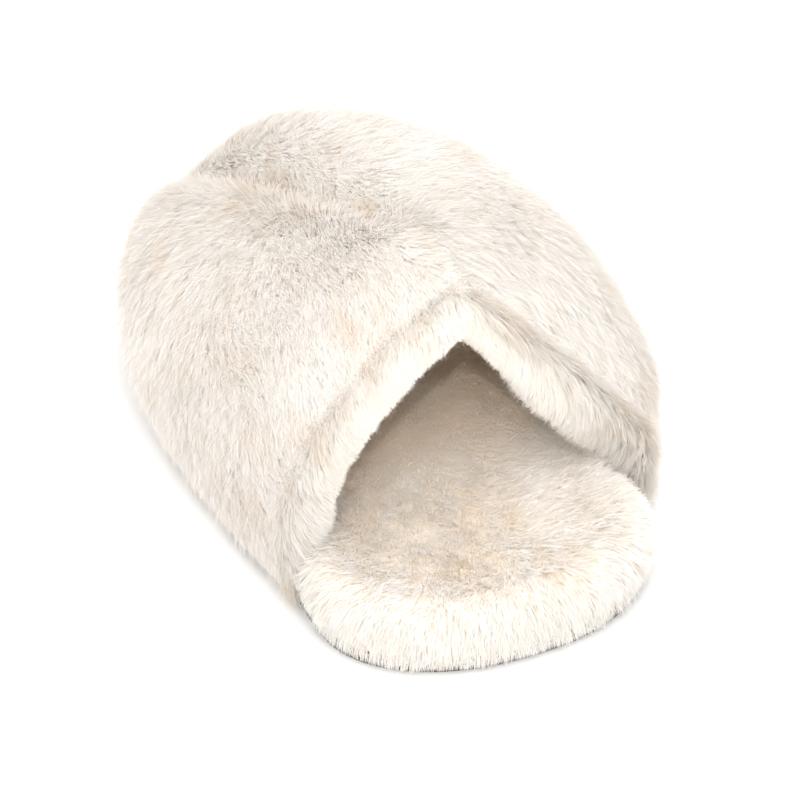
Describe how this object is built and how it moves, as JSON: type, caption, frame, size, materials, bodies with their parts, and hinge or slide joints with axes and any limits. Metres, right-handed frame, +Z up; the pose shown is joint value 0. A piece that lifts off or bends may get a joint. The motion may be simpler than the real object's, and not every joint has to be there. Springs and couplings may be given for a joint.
{
  "type": "house slipper",
  "caption": "Open-back fluffy house slipper with a padded two-half plush vamp, rolled plush cuff, plush footbed and flat rubber outsole.",
  "frame": {"origin": "bottom centre of the slipper's bounding box, on the ground under the outsole", "axes": "+Z up, +Y from the heel to the toe, +X to the wearer's right"},
  "size_m": [0.1593, 0.2538, 0.107],
  "materials": {
    "rubber_sole": "matt moulded rubber with a chevron tread",
    "eva_foam": "cut closed-cell foam",
    "fibre_board": "pressed cellulose board",
    "foam": "soft open-cell foam",
    "plush_footbed": "short curly plush pile",
    "plush_outer": "long cream faux-fur pile",
    "plush_lining": "warm short plush pile",
    "plush_collar": "long cream faux-fur pile, rolled",
    "wadding": "loose polyester wadding",
    "seam_tape": "woven cotton tape",
    "thread": "twisted polyester thread"
  },
  "bodies": {
    "root": {"outsole": "rubber_sole", "midsole": "eva_foam", "insole_board": "fibre_board", "footbed_foam": "foam", "footbed_cover": "plush_footbed", "vamp_outer_left": "plush_outer", "vamp_outer_right": "plush_outer", "vamp_padding_left": "wadding", "vamp_padding_right": "wadding", "vamp_lining_left": "plush_lining", "vamp_lining_right": "plush_lining", "centre_seam_tape": "seam_tape", "throat_collar": "plush_collar", "collar_padding": "wadding", "centre_seam_stitches": "thread", "collar_seam_stitches": "thread", "lasting_stitches": "thread"}
  },
  "joints": []
}
